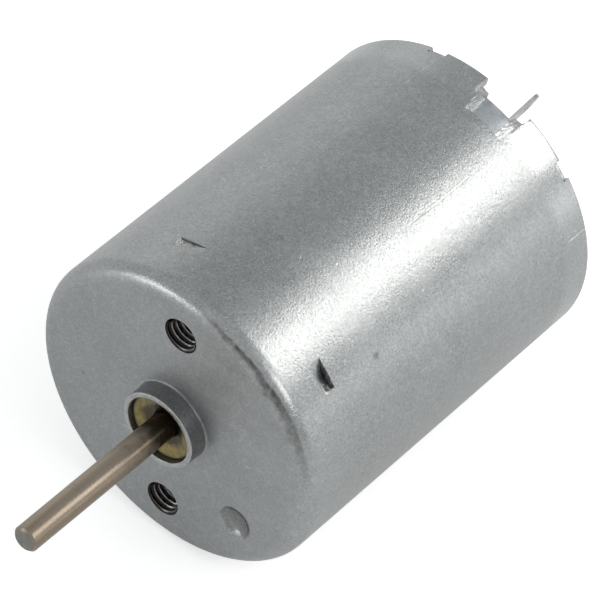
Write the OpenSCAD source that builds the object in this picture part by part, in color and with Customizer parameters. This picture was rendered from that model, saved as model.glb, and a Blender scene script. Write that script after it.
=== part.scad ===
// Small brushed direct-current motor: a drawn steel can with a two-pole magnet field,
// a three-slot wound rotor, sleeve bearings at both ends and a brush gear under the end cap.
// The shaft lies along Y and its output end points to -Y. The origin is where the shaft
// axis meets the front mounting face, and +Z runs through the two tapped holes.
// "Depth" means the distance behind the front face.

/* [Can] */
// Outside diameter of the can
can_d = 24.4; // [22:0.1:32]
// Length from the front face to the rear rim
can_len = 30.8; // [27:0.1:45]
// Wall of the can and of its front face
can_wall = 0.9; // [0.7:0.05:1.2]
// Outside radius of the drawn front corner
can_corner_r = 1.2; // [1.1:0.05:2]
// Wall left at the thinned rear rim
rim_wall = 0.7; // [0.55:0.05:0.7]
// Length of the thinned rear rim
rim_len = 3.5; // [2.5:0.1:5]
// Angle of the field axis, which also carries the notches, from +X towards +Z
field_angle = 73.7; // [0:0.1:180]

/* [Front face] */
// Outside diameter of the locating boss
boss_d = 6.15; // [5:0.05:8]
// Height of the locating boss
boss_h = 1.5; // [1:0.05:2.5]
// Wall of the locating boss
boss_wall = 0.42; // [0.3:0.02:0.8]
// Chamfer on the rim of the boss
boss_chamfer = 0.12; // [0.05:0.01:0.2]
// Fillet between the boss and the face
boss_fillet = 0.15; // [0.05:0.01:0.3]
// Distance between the two tapped holes
screw_pitch = 17; // [14:0.1:18]
// Thread diameter of the tapped holes
screw_d = 2.6; // [2:0.1:3]
// Depth of the plunged collar behind each tapped hole
screw_collar_len = 0.9; // [0.3:0.1:1.5]
// Wall of the plunged collar
screw_collar_wall = 0.5; // [0.3:0.05:0.8]
// Opening of the round dimple
dimple_d = 2.6; // [1:0.1:3]
// Depth of the dimple
dimple_depth = 0.35; // [0.1:0.05:0.5]
// Angle of the dimple from +X towards +Z
dimple_angle = -42.1; // [-180:0.1:180]

/* [Lances, notches and stakes] */
// Angle between a lance and the field axis
lance_angle = 31; // [20:0.5:45]
// Width of a lance round the can
lance_w = 2.3; // [1.5:0.1:3]
// Depth of the front end of a lance
lance_front = 3.6; // [3:0.1:5]
// Length of a lance along the can
lance_len = 1; // [0.6:0.1:2]
// How far a lance is pushed inwards
lance_push = 1.05; // [0.9:0.05:1.1]
// Width of the two deep rim notches
notch_w = 2.6; // [1.5:0.1:4]
// Length of the two deep rim notches
notch_len = 3.3; // [2:0.1:4]
// Width of a stake beside a notch mouth
stake_w = 0.75; // [0.4:0.05:1]
// Length of the cut behind a stake
stake_len = 0.95; // [0.7:0.05:1.2]
// Angle between a crimp tab and the field axis
tab_angle = 30; // [15:0.5:60]
// Width of a crimp tab
tab_w = 1.45; // [1:0.05:2.5]
// Depth of the rim notch over a crimp tab
tab_depth = 0.6; // [0.3:0.05:0.65]

/* [End cap] */
// Distance from the rear rim down to the face of the end cap
cap_recess = 0.7; // [0.7:0.05:1.2]
// Sheet thickness of the end cap
cap_t = 0.8; // [0.5:0.05:1]
// Outside radius of the end cap's rear edge
cap_edge_r = 0.45; // [0.2:0.05:0.7]
// Height of the rear bearing hub over the end cap
hub_h = 2.2; // [1.5:0.1:3.5]
// Wall of the rear bearing hub
hub_wall = 0.6; // [0.4:0.05:1]
// Clearance between the end cap and the can
cap_clear = 0.03; // [0.01:0.01:0.05]

/* [Shaft and bearings] */
// Diameter of the output end of the shaft
shaft_d = 2; // [1.5:0.05:2]
// Diameter of the journal, from the front bearing back
journal_d = 2.35; // [2.2:0.05:2.6]
// Distance from the front face to the tip of the shaft
shaft_out = 14.9; // [6:0.1:30]
// Chamfer on both ends of the shaft
shaft_chamfer = 0.25; // [0.1:0.01:0.4]
// Radial running clearance in the bearings
run_clear = 0.03; // [0.01:0.01:0.1]
// Distance from the boss rim back to the front bearing
bearing_recess = 0.45; // [0.2:0.05:0.8]
// Depth of the conical mouth of the front bearing, and of the oil pocket under it
mouth_depth = 0.5; // [0.3:0.05:0.6]
// Length of the front bearing
front_bearing_len = 2.95; // [2.5:0.05:4]
// Outside diameter of the rear bearing
rear_bearing_d = 4.8; // [4.2:0.1:6]
// Length of the rear bearing
rear_bearing_len = 2.4; // [1.8:0.1:3.5]
// Thickness of a thrust washer
washer_t = 0.3; // [0.2:0.05:0.5]
// Outside diameter of a thrust washer
washer_d = 4.2; // [3.6:0.1:4.6]
// Axial play between a washer and its neighbours
washer_play = 0.05; // [0.02:0.01:0.1]
// Outside diameter of the front spacer sleeve
spacer_d = 3.8; // [3.2:0.1:5]

/* [Magnets] */
// Radial thickness of a magnet
magnet_t = 2.7; // [2:0.1:4]
// Angle that a magnet spans
magnet_span = 130; // [100:1:150]
// Glue film between a magnet and the can
glue_t = 0.05; // [0.02:0.01:0.1]
// How far a magnet reaches past the rear of the core
magnet_overhang = 1.65; // [0:0.05:2]
// Sheet thickness of a magnet spring
spring_t = 0.4; // [0.2:0.05:0.6]
// Air gap between the magnets and the rotor
air_gap = 0.4; // [0.3:0.05:0.8]

/* [Rotor core and windings] */
// Depth of the front of the rotor core
core_front = 7; // [6:0.1:10]
// Distance from the rear of the core to the rear rim
core_rear_room = 9.8; // [9.8:0.1:14]
// Sheet thickness of a lamination, with its lacquer
plate_pitch = 0.5; // [0.35:0.05:1]
// Lacquer film between two laminations
lacquer_t = 0.02; // [0.01:0.01:0.05]
// Width of a pole web
web_w = 2.6; // [1.8:0.1:4]
// Radius of the core's hub
core_hub_r = 2.9; // [2.5:0.1:4]
// Radial thickness of a pole shoe
shoe_t = 1.2; // [0.8:0.1:2]
// Angle of the slot opening between two pole shoes
slot_angle = 14; // [8:1:25]
// Thickness of the insulating end plates
insulator_t = 0.5; // [0.3:0.05:0.8]
// How far the insulation stands out past the pole web
liner_t = 0.15; // [0.05:0.05:0.3]
// Depth of the wire on each side of a web
coil_t = 1.7; // [1:0.1:2]
// Number of steps from an end of a coil to its full depth
coil_steps = 3; // [1:1:5]
// How much each step adds to the depth
coil_crown = 0.14; // [0.05:0.01:0.2]

/* [Commutator and brushes] */
// Outside diameter of the commutator
comm_d = 5.8; // [5:0.1:8]
// Thickness of a commutator bar
bar_t = 0.35; // [0.2:0.05:0.6]
// Gap between two bars
bar_gap = 0.4; // [0.2:0.05:0.8]
// Distance from the core's insulator to the riser of a bar
riser_room = 2.1; // [2.1:0.1:3]
// Length of a commutator bar
bar_len = 4.7; // [4.4:0.1:4.8]
// Thickness of a riser
riser_t = 0.4; // [0.2:0.05:0.6]
// Width of a riser
riser_w = 1.2; // [0.8:0.1:2]
// How far a riser stands out of its bar
riser_h = 1.7; // [1:0.1:2.5]
// Thickness of the varistor ring
varistor_t = 0.6; // [0.4:0.05:0.8]
// Radial width of the varistor ring
varistor_w = 2.3; // [1.5:0.1:3]
// Thickness of the ring that binds the bars
bind_t = 0.45; // [0.3:0.05:0.6]
// Width of a carbon brush round the commutator
brush_w = 1.8; // [1.2:0.1:2.4]
// Length of a carbon brush from the commutator to its arm
brush_len = 1.5; // [1.2:0.1:2]
// Size of a carbon brush along the shaft
brush_depth = 2; // [1.5:0.1:2.2]
// Clearance between a brush and the commutator
brush_clear = 0.1; // [0.05:0.01:0.15]
// Sheet thickness of a brush arm
arm_t = 0.25; // [0.15:0.05:0.35]
// Width of a brush arm along the shaft
arm_w = 2.3; // [2:0.1:2.4]

/* [Brush base and terminals] */
// Thickness of the brush base
base_t = 1.2; // [0.8:0.1:1.2]
// Radius of the opening round the commutator
base_hole_r = 4; // [3.8:0.1:5]
// Height of the rim of the brush base
base_rim_h = 0.8; // [0.4:0.1:1]
// Width of the rim of the brush base
base_rim_w = 0.9; // [0.6:0.1:1.5]
// Clearance of the brush base in the end cap
base_clear = 0.05; // [0.02:0.01:0.1]
// Angle of the terminals from the field axis
terminal_angle = -4.5; // [-20:0.5:20]
// Radius at the middle of a terminal
terminal_r = 8.5; // [8:0.1:8.6]
// Width of a terminal
terminal_w = 2; // [1.8:0.1:2.2]
// Sheet thickness of a terminal
terminal_t = 0.3; // [0.25:0.05:0.6]
// How far a terminal stands out past the rear rim
terminal_out = 4.5; // [3:0.1:8]
// Lean of the outer part of a terminal
terminal_lean = 2.5; // [-8:0.5:8]
// Diameter of the hole in a terminal
terminal_hole_d = 1.1; // [0.8:0.1:1.3]
// Distance from the terminal's tip to its hole
terminal_hole_in = 1.4; // [1.2:0.1:2]
// Wall of the plastic round a terminal
boss_room = 0.7; // [0.5:0.05:0.75]
// How far that plastic stands out of the end cap
boss_out = 0.8; // [0.4:0.1:1.5]
// Diameter of the two riveted posts
post_d = 1.5; // [1:0.1:2]
// Diameter of a post's riveted head
post_head_d = 2.4; // [2:0.1:3]
// Height of a post's riveted head
post_head_h = 0.5; // [0.3:0.05:0.8]
// Radius at the middle of a post
post_r = 8; // [7:0.1:8.4]

/* [Hidden] */
$fn = 96;
over = 1;                                   // how far a cutting body runs past what it cuts
poles = 3;
can_r = can_d / 2;
bore_r = can_r - can_wall;                  // inside radius of the can
rim_r = can_r - rim_wall;                   // inside radius of the thinned rim
boss_r = boss_d / 2;
seat_r = boss_r - boss_wall;                // seat of the front bearing
shaft_r = shaft_d / 2;
journal_r = journal_d / 2;
bearing_bore_r = journal_r + run_clear;
inner_corner_r = can_corner_r - can_wall / 2;
bearing_front = bearing_recess - boss_h;    // depths from here on
bearing_rear = bearing_front + front_bearing_len;
journal_front = bearing_front + mouth_depth + 0.05;
lance_rear = lance_front + lance_len;
cap_face = can_len - cap_recess;
cap_inside = cap_face - cap_t;
cap_r = rim_r - cap_clear;
cap_front = can_len - rim_len;
hub_end = cap_face + hub_h;
hub_bore_r = rear_bearing_d / 2;
rear_bearing_front = cap_inside + 0.2;
shaft_rear = rear_bearing_front + rear_bearing_len + 0.1;
core_rear = can_len - core_rear_room;
plates = floor((core_rear - core_front) / plate_pitch);
core_end = core_front + plates * plate_pitch - lacquer_t;
magnet_out_r = bore_r - glue_t;
magnet_in_r = magnet_out_r - magnet_t;
core_r = magnet_in_r - air_gap;
magnet_front = lance_rear + 0.05;
magnet_rear = core_rear + magnet_overhang;
insulator_rear = core_end + insulator_t;
comm_r = comm_d / 2;
comm_hub_r = comm_r - bar_t;
bar_front = insulator_rear + riser_room;
bar_rear = bar_front + bar_len;
comm_end = bar_rear + 0.3;
base_inside = cap_inside - base_t;
base_r = cap_r - cap_t - base_clear;
terminal_polar = field_angle + terminal_angle;
terminal_tip = can_len + terminal_out;
lean_start = cap_face + boss_out;
arm_rear = base_inside - 0.2;
arm_front = arm_rear - arm_w;
arm_stand = comm_r + brush_clear + brush_len;
washer_r = washer_d / 2;

// Turns the drawing frame, whose +z points out of the front face, into the part's own frame.
module in_frame() {
    rotate([90, 0, 0]) children();
}

// Round bar between two depths.
module bar(front, rear, r) {
    translate([0, 0, -rear]) cylinder(h = rear - front, r = r);
}

// Round tube between two depths.
module tube(front, rear, r_out, r_in) {
    difference() {
        bar(front, rear, r_out);
        bar(front - over, rear + over, r_in);
    }
}

// Outline of part of a ring, centred on an angle and less than half a turn.
module ring_outline(r_in, r_out, middle, span) {
    reach = 2 * r_out;
    rotate(middle)
        intersection() {
            difference() {
                circle(r_out);
                circle(r_in);
            }
            polygon([
                [0, 0], [reach * cos(span / 2), -reach * sin(span / 2)], [reach, 0],
                [reach * cos(span / 2), reach * sin(span / 2)]
            ]);
        }
}

// Part of a ring between two depths.
module ring_part(front, rear, r_in, r_out, middle, span) {
    translate([0, 0, -rear])
        linear_extrude(rear - front)
        ring_outline(r_in, r_out, middle, span);
}

// Distance from the middle plane of a flat cut to a circle, off to one side.
function on_circle(r, side) = sqrt(r * r - side * side);

// Outline of a cup standing on the axis, its closed end at the top, with one round corner.
module cup_outline(r, top, bottom, corner_r) {
    translate([0, bottom]) square([r, top - bottom - corner_r]);
    translate([0, bottom]) square([r - corner_r, top - bottom]);
    translate([r - corner_r, top - corner_r]) circle(corner_r);
}

// Extrudes an outline drawn in radius and depth, centred on the x axis, to a given width.
module radial_plate(width) {
    translate([0, width / 2, 0])
        rotate([90, 0, 0])
        linear_extrude(width)
        mirror([0, 1])
        children();
}

// Outline of a sheet strip of even thickness whose one side follows a path.
function unit(v) = v / norm(v);
function left_of(v) = [-v[1], v[0]];
function mitre(a, b, c) =
    let (n1 = left_of(unit(b - a)), n2 = left_of(unit(c - b)), m = unit(n1 + n2)) m / (m * n1);
function side_step(path, i) =
    i == 0 ? left_of(unit(path[1] - path[0])) :
    i == len(path) - 1 ? left_of(unit(path[i] - path[i - 1])) :
    mitre(path[i - 1], path[i], path[i + 1]);
function strip(path, t) =
    concat(path, [for (i = [len(path) - 1:-1:0]) path[i] + t * side_step(path, i)]);

// Can ------------------------------------------------------------------------------------

// Ring of the locating boss with its chamfered rim and its fillet to the face.
module boss_ring() {
    rotate_extrude()
        polygon([
            [seat_r, -can_wall], [boss_r + boss_fillet, -can_wall], [boss_r + boss_fillet, 0],
            [boss_r, boss_fillet], [boss_r, boss_h - boss_chamfer],
            [boss_r - boss_chamfer, boss_h], [seat_r + boss_chamfer, boss_h],
            [seat_r, boss_h - boss_chamfer]
        ]);
}

// Both tapped holes.
module at_screws() {
    for (side = [-1, 1]) {
        translate([0, side * screw_pitch / 2, 0]) children();
    }
}

// Bowl of the dimple: a sphere that meets the face in a circle of the dimple's size.
module dimple() {
    ball_r = (pow(dimple_d / 2, 2) + pow(dimple_depth, 2)) / (2 * dimple_depth);
    rotate([0, 0, dimple_angle])
        translate([screw_pitch / 2, 0, ball_r - dimple_depth])
        sphere(ball_r);
}

// The four places a given angle either side of the field axis, at both poles.
module at_four(angle) {
    for (pole = [0, 180], side = [-1, 1]) {
        rotate([0, 0, field_angle + pole + side * angle]) children();
    }
}

// Outside pocket of a lance, open to the inside at its sheared rear edge.
module lance_pocket() {
    radial_plate(lance_w)
        polygon([
            [can_r + over, lance_front], [can_r, lance_front],
            [can_r - lance_push, lance_rear], [can_r + over, lance_rear]
        ]);
}

// Sloping tongue of a lance, which stops the magnet behind it.
module lance_tongue() {
    radial_plate(lance_w)
        polygon([
            [can_r - can_wall / 2, lance_front - can_wall / 2], [bore_r - 0.05, lance_front - can_wall / 2],
            [bore_r - lance_push + 0.1, lance_rear], [can_r - lance_push, lance_rear],
            [can_r - can_wall / 2, lance_front]
        ]);
}

// Metal pressed inwards beside a notch mouth, behind the edge of the end cap.
module stake(side) {
    near = notch_w / 2;
    far = notch_w / 2 + stake_w;
    root = far + 0.1;
    outer = on_circle(can_r - 0.05, root);
    inner = on_circle(rim_r, root);
    translate([0, 0, -can_len + 0.05])
        linear_extrude(cap_recess - 0.07)
        polygon([
            [inner - 0.5, side * near], [outer - 0.6, side * near],
            [outer - 0.15, side * far], [outer, side * root],
            [inner, side * root], [inner - 0.2, side * far]
        ]);
}

// Rim tab folded in over the edge of the end cap.
module crimp_tab() {
    tab_root = can_len - tab_depth;
    radial_plate(tab_w)
        polygon([
            [rim_r + 0.05, tab_root - 0.15], [can_r - 0.08, tab_root - 0.15],
            [can_r - 0.08, tab_root], [rim_r + 0.1, tab_root + 0.4],
            [rim_r - 0.7, tab_root + 0.3], [rim_r - 0.7, cap_face + 0.02],
            [rim_r + 0.05, cap_face + 0.02]
        ]);
}

module can() {
    color("lightslategray")
        in_frame()
        difference() {
            union() {
                difference() {
                    union() {
                        rotate_extrude() {
                            difference() {
                                cup_outline(can_r, 0, -can_len, can_corner_r);
                                cup_outline(bore_r, -can_wall, -can_len - over, inner_corner_r);
                            }
                        }
                        at_screws() bar(0, can_wall + screw_collar_len, screw_d / 2 + screw_collar_wall);
                        boss_ring();
                    }
                    bar(-boss_h - over, can_wall + over, seat_r);
                    bar(cap_front, can_len + over, rim_r);
                    at_four(lance_angle) lance_pocket();
                    for (pole = [0, 180]) {
                        rotate([0, 0, field_angle + pole]) {
                            translate([bore_r - over, -notch_w / 2, -can_len - over])
                                cube([can_wall + 2 * over, notch_w, notch_len + over]);
                            translate([bore_r - over, -notch_w / 2 - stake_w, -can_len - over])
                                cube([can_wall + 2 * over, notch_w + 2 * stake_w, stake_len + over]);
                        }
                    }
                    at_four(tab_angle) {
                        translate([bore_r - over, -tab_w / 2, -can_len - over])
                            cube([can_wall + 2 * over, tab_w, tab_depth + over]);
                    }
                }
                at_four(lance_angle) lance_tongue();
                at_four(tab_angle) crimp_tab();
                for (pole = [0, 180], side = [-1, 1]) {
                    rotate([0, 0, field_angle + pole]) stake(side);
                }
            }
            at_screws() bar(-over, can_wall + screw_collar_len + over, screw_d / 2);
            dimple();
        }
}

// Bearings -------------------------------------------------------------------------------

// Sintered sleeve with a conical mouth and an oil pocket round the shaft.
module front_bearing() {
    pocket_r = journal_r + 0.35;
    color("darkgoldenrod")
        in_frame()
        rotate_extrude()
        polygon([
            [bearing_bore_r, -bearing_rear], [seat_r, -bearing_rear], [seat_r, -bearing_front],
            [seat_r - 0.15, -bearing_front], [pocket_r, -bearing_front - mouth_depth],
            [pocket_r, -bearing_front - 2 * mouth_depth],
            [bearing_bore_r, -bearing_front - 2 * mouth_depth]
        ]);
}

module rear_bearing() {
    color("darkgoldenrod")
        in_frame()
        tube(rear_bearing_front, rear_bearing_front + rear_bearing_len, hub_bore_r, bearing_bore_r);
}

// Field ----------------------------------------------------------------------------------

module magnet(pole) {
    color("dimgray")
        in_frame()
        ring_part(magnet_front, magnet_rear, magnet_in_r, magnet_out_r, field_angle + pole, magnet_span);
}

// Sheet clip that spreads the two magnets apart: a curved back with a leg on each magnet edge.
module magnet_spring(side) {
    half = (180 - magnet_span) / 2;
    leg_r = magnet_in_r + 0.3;
    back_r = magnet_out_r;
    color("silver")
        in_frame()
        rotate([0, 0, field_angle + side])
        translate([0, 0, -magnet_rear])
        linear_extrude(magnet_rear - magnet_front)
        union() {
            ring_outline(back_r - spring_t, back_r, 0, 2 * half - 1);
            for (turn = [-1, 1]) {
                rotate(turn * half)
                    translate([leg_r, turn > 0 ? -spring_t : 0])
                    square([back_r - 0.1 - leg_r, spring_t]);
            }
        }
}

// End cap and brush gear -----------------------------------------------------------------

// Window in the end cap, or the plastic that fills it, round each terminal.
module terminal_block(front, rear, clear) {
    wide = terminal_t + 2 * boss_room + 2 * clear + 1;
    long = terminal_w + 2 * boss_room + 2 * clear;
    for (pole = [0, 180]) {
        rotate([0, 0, terminal_polar + pole])
            translate([terminal_r - long / 2, -wide / 2, -rear])
            cube([long, wide, rear - front]);
    }
}

module at_posts() {
    for (side = [-90, 90]) {
        rotate([0, 0, terminal_polar + side]) translate([post_r, 0, 0]) children();
    }
}

module end_cap() {
    color("gray")
        in_frame()
        difference() {
            union() {
                rotate_extrude() {
                    mirror([0, 1]) cup_outline(cap_r, cap_face, cap_front, cap_edge_r);
                }
                bar(cap_face - cap_t / 2, hub_end, hub_bore_r + hub_wall);
            }
            bar(cap_front - over, cap_inside, cap_r - cap_t);
            bar(cap_front - over, hub_end + over, hub_bore_r);
            terminal_block(cap_inside - over, cap_face + over, base_clear);
            at_posts() bar(cap_inside - over, cap_face + over, post_d / 2 + base_clear);
        }
}

module brush_base() {
    color("ivory")
        in_frame()
        difference() {
            union() {
                bar(base_inside, cap_inside, base_r);
                tube(base_inside - base_rim_h, base_inside + base_t / 2, base_r, base_r - base_rim_w);
                terminal_block(base_inside + base_t / 2, cap_face + boss_out, 0);
                at_posts() bar(base_inside + base_t / 2, cap_face + post_head_h, post_d / 2);
                at_posts() bar(cap_face, cap_face + post_head_h, post_head_d / 2);
            }
            bar(base_inside - over, cap_inside + over, base_hole_r);
            for (pole = [0, 180]) {
                rotate([0, 0, terminal_polar + pole])
                    translate([terminal_r - terminal_w / 2, -terminal_t / 2, -cap_face - boss_out - over])
                    cube([terminal_w, terminal_t, boss_out + cap_face - base_inside + 2 * over]);
            }
        }
}

// Tab with a round end and a wire hole. Its outer part leans about the edge of the plastic.
module terminal(pole) {
    tip_r = terminal_w / 2;
    shift = (terminal_tip - lean_start) * tan(terminal_lean);
    half = terminal_t / 2;
    color("gainsboro")
        in_frame()
        rotate([0, 0, terminal_polar + pole])
        difference() {
            intersection() {
                translate([terminal_r - terminal_w, 0, 0])
                    rotate([90, 0, 90])
                    linear_extrude(2 * terminal_w)
                    polygon([
                        [-half, -arm_front], [-half, -lean_start], [shift - half, -terminal_tip],
                        [shift + half, -terminal_tip], [half, -lean_start], [half, -arm_front]
                    ]);
                radial_plate(4 * tip_r) {
                    translate([terminal_r - tip_r, arm_front - over])
                        square([terminal_w, terminal_tip - tip_r - arm_front + over]);
                    translate([terminal_r, terminal_tip - tip_r]) circle(tip_r);
                }
            }
            translate([terminal_r, 2 * tip_r, -terminal_tip + terminal_hole_in])
                rotate([90, 0, 0])
                cylinder(h = 4 * tip_r, r = terminal_hole_d / 2);
        }
}

// Leaf arm: from the terminal's face it bends out and then runs past the commutator.
module brush_arm(pole) {
    start = terminal_t / 2;
    outer = terminal_r + terminal_w / 2;
    path = [
        [-brush_w, arm_stand], [terminal_r - terminal_w, arm_stand],
        [terminal_r - terminal_w / 2, start + arm_t], [outer, start + arm_t]
    ];
    color("peru")
        in_frame()
        rotate([0, 0, terminal_polar + pole])
        translate([0, 0, -arm_rear])
        linear_extrude(arm_w)
        polygon(strip([path[0], path[1], path[2] - [0, arm_t], path[3] - [0, arm_t]], arm_t));
}

module carbon_brush(pole) {
    middle = (arm_front + arm_rear) / 2;
    color("darkslategray")
        in_frame()
        rotate([0, 0, terminal_polar + pole])
        difference() {
            translate([-brush_w / 2, comm_r - 0.3, -middle - brush_depth / 2])
                cube([brush_w, arm_stand - comm_r + 0.3, brush_depth]);
            bar(arm_front - over, arm_rear + over, comm_r + brush_clear);
        }
}

// Rotor ----------------------------------------------------------------------------------

// Output end and a thicker journal, which starts in the oil pocket of the front bearing.
module shaft() {
    color("lightgray")
        in_frame()
        rotate_extrude()
        polygon([
            [0, -shaft_rear], [journal_r - shaft_chamfer, -shaft_rear],
            [journal_r, -shaft_rear + shaft_chamfer], [journal_r, -journal_front],
            [shaft_r, -journal_front], [shaft_r, shaft_out - shaft_chamfer],
            [shaft_r - shaft_chamfer, shaft_out], [0, shaft_out]
        ]);
}

module washer(front) {
    tube(front, front + washer_t, washer_r, bearing_bore_r);
}

module front_thrust_washers() {
    color("white")
        in_frame()
        for (i = [0, 1]) {
            washer(bearing_rear + washer_play + i * (washer_t + washer_play));
        }
}

module rear_thrust_washers() {
    color("white")
        in_frame()
        for (i = [0, 1]) {
            washer(rear_bearing_front - washer_play - washer_t - i * (washer_t + washer_play));
        }
}

module front_spacer() {
    color("khaki")
        in_frame()
        tube(bearing_rear + 3 * washer_play + 2 * washer_t, core_front - insulator_t, spacer_d / 2, journal_r);
}

// One three-pole sheet; grow widens its webs and hub, for the insulators.
module pole_sheet(front, rear, grow) {
    pitch = 360 / poles;
    translate([0, 0, -rear])
        linear_extrude(rear - front)
        difference() {
            union() {
                circle(core_hub_r + grow);
                for (i = [0:poles - 1]) {
                    rotate(field_angle + i * pitch)
                        translate([0, -web_w / 2 - grow])
                        square([core_r - shoe_t / 2, web_w + 2 * grow]);
                    ring_outline(core_r - shoe_t, core_r, field_angle + i * pitch, pitch - slot_angle);
                }
            }
            circle(journal_r);
        }
}

module core_laminations() {
    color("slategray")
        in_frame()
        for (i = [0:plates - 1]) {
            pole_sheet(core_front + i * plate_pitch, core_front + (i + 1) * plate_pitch - lacquer_t, 0);
        }
}

module core_insulators() {
    color("darkolivegreen")
        in_frame() {
            pole_sheet(core_front - insulator_t, core_front, liner_t);
            pole_sheet(core_end, insulator_rear, liner_t);
        }
}

// A coil seen along its web: a frame of wire round the web, with round outer corners.
module coil_outline(depth) {
    hole_w = web_w + 2 * liner_t;
    hole_l = insulator_rear - core_front + insulator_t;
    w = hole_w + 2 * depth;
    l = hole_l + 2 * depth;
    corner = depth * 0.8;
    difference() {
        union() {
            square([w - 2 * corner, l], center = true);
            square([w, l - 2 * corner], center = true);
            for (x = [-1, 1], y = [-1, 1]) {
                translate([x * (w / 2 - corner), y * (l / 2 - corner)]) circle(corner);
            }
        }
        square([hole_w, hole_l], center = true);
    }
}

// Coil whose depth grows in steps from both ends to its middle.
module winding(i) {
    inner = core_hub_r + liner_t + 0.1;
    outer = on_circle(core_r - shoe_t, web_w / 2 + liner_t + coil_t) - 0.05;
    step = (outer - inner) / (2 * coil_steps);
    centre = (core_front - insulator_t + insulator_rear) / 2;
    color("chocolate")
        in_frame()
        rotate([0, 0, field_angle + i * 360 / poles])
        translate([inner, 0, -centre])
        rotate([90, 0, 90])
        for (k = [0:coil_steps - 1]) {
            translate([0, 0, k * step])
                linear_extrude(outer - inner - 2 * k * step)
                coil_outline(coil_t - coil_crown * (coil_steps - 1 - k));
        }
}

module commutator_hub() {
    color("saddlebrown")
        in_frame()
        tube(insulator_rear, comm_end, comm_hub_r, journal_r);
}

module commutator_bar(i) {
    span = 360 / poles - 2 * asin(bar_gap / 2 / comm_r);
    color("orange")
        in_frame()
        rotate([0, 0, field_angle + (i + 0.5) * 360 / poles])
        union() {
            ring_part(bar_front, bar_rear, comm_hub_r, comm_r, 0, span);
            translate([comm_r - bar_t / 2, -riser_w / 2, -bar_front - riser_t])
                cube([bar_t / 2 + riser_h, riser_w, riser_t]);
        }
}

module commutator_binding() {
    color("black")
        in_frame()
        tube(bar_rear - bind_t, bar_rear, comm_r + 0.5, comm_r);
}

module varistor_ring() {
    color("darkslateblue")
        in_frame()
        tube(bar_front + riser_t, bar_front + riser_t + varistor_t, comm_r + 0.1 + varistor_w, comm_r + 0.1);
}

can();
front_bearing();
magnet(0);  // magnet_a
magnet(180);  // magnet_b
magnet_spring(-90);  // magnet_spring_a
magnet_spring(90);  // magnet_spring_b
end_cap();
rear_bearing();
brush_base();
terminal(0);  // terminal_a
terminal(180);  // terminal_b
brush_arm(0);  // brush_arm_a
brush_arm(180);  // brush_arm_b
carbon_brush(0);  // carbon_brush_a
carbon_brush(180);  // carbon_brush_b
shaft();
front_thrust_washers();
front_spacer();
rear_thrust_washers();
core_laminations();
core_insulators();
winding(0);  // winding_1
winding(1);  // winding_2
winding(2);  // winding_3
commutator_hub();
commutator_bar(0);  // commutator_bar_1
commutator_bar(1);  // commutator_bar_2
commutator_bar(2);  // commutator_bar_3
commutator_binding();
varistor_ring();
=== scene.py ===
"""Small brushed direct-current motor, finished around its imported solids.

The shaft lies along Y and points to -Y. A depth is measured behind the front face, along +Y, and a
polar angle runs from +X towards +Z. Lengths inside the functions are millimetres; the meshes are in
metres. Each visible piece is a surface worked out on a grid, and the inner solids keep their shape
and get their finishes here.
"""

import math

import bpy
import numpy as np
from mathutils import Matrix, Vector


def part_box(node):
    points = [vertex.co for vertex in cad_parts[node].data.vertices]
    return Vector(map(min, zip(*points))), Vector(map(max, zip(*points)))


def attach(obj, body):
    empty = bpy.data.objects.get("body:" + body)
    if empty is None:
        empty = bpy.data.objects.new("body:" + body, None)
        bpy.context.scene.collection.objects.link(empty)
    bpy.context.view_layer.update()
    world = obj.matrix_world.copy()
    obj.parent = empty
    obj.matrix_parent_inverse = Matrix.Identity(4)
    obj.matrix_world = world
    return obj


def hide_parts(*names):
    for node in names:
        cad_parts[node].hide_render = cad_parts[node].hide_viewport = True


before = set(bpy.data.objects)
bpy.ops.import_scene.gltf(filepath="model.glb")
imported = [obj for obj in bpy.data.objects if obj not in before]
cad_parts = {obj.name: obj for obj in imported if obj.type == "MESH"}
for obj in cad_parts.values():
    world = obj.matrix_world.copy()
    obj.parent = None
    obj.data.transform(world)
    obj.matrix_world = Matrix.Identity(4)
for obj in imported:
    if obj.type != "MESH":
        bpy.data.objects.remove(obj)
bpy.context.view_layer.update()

bl_info = {
    "name": "Brushed motor",
    "version": (1, 0, 0),
    "blender": (4, 5, 0),
    "location": "3D View > Sidebar > Motor",
    "description": "Builds the pieces, finishes and stage of a small brushed motor",
    "category": "Object",
}

MM = 0.001
STATOR, ROTOR = "stator", "rotor"
POLES = (0.0, 180.0)
SIDES = (-1.0, 1.0)
LANCE_BITES = (0.85, 0.28, 0.8, 0.7)  # how far each lance went in, of the full push
LANCE_START, LANCE_RUN = 3.5, 1.1  # depth where a lance begins to slope, and the length of its slope
LANCE_SLIT = (4.6, 4.62)  # depths of the sheared rear edge of a lance
MOUTH = 0.08  # how far a tapped hole widens at its mouth
CAP_INSET, CAP_SHEET = 0.7, 0.8  # rear rim to the end cap, and the thickness of the cap
TERMINAL_RADIUS = 8.5  # shaft axis to the middle of a solder tab
# first colour: the thin dark band along the front corner; second: near-black, partly oily and partly painted
# shade
DARK_BAND_COLOUR, OIL_AND_SHADE = (0.075, 0.070, 0.066), (0.023, 0.019, 0.017)
ROOM_LIGHT, CEILING_LIGHT = 0.645, 0.53  # strength of the room, and of its dimmer patch of ceiling
MADE = {}  # finishes by slot name


# Sizes and colours ------------------------------------------------------------------------


def depths(node):
    """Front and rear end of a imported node, in millimetres behind the front face."""
    low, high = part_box(node)
    return low[1] / MM, high[1] / MM


def radius_of(node):
    """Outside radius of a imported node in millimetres."""
    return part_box(node)[1][0] / MM


def length(name, words, millimetres):
    """A length property."""
    return bpy.props.FloatProperty(
        name=name, description=words, default=millimetres * MM, min=0.0, precision=5,
        subtype="DISTANCE", unit="LENGTH",
    )


def turn(name, words, degrees):
    """An angle property, given here in degrees."""
    return bpy.props.FloatProperty(
        name=name, description=words, default=math.radians(degrees), subtype="ANGLE", unit="ROTATION"
    )


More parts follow.
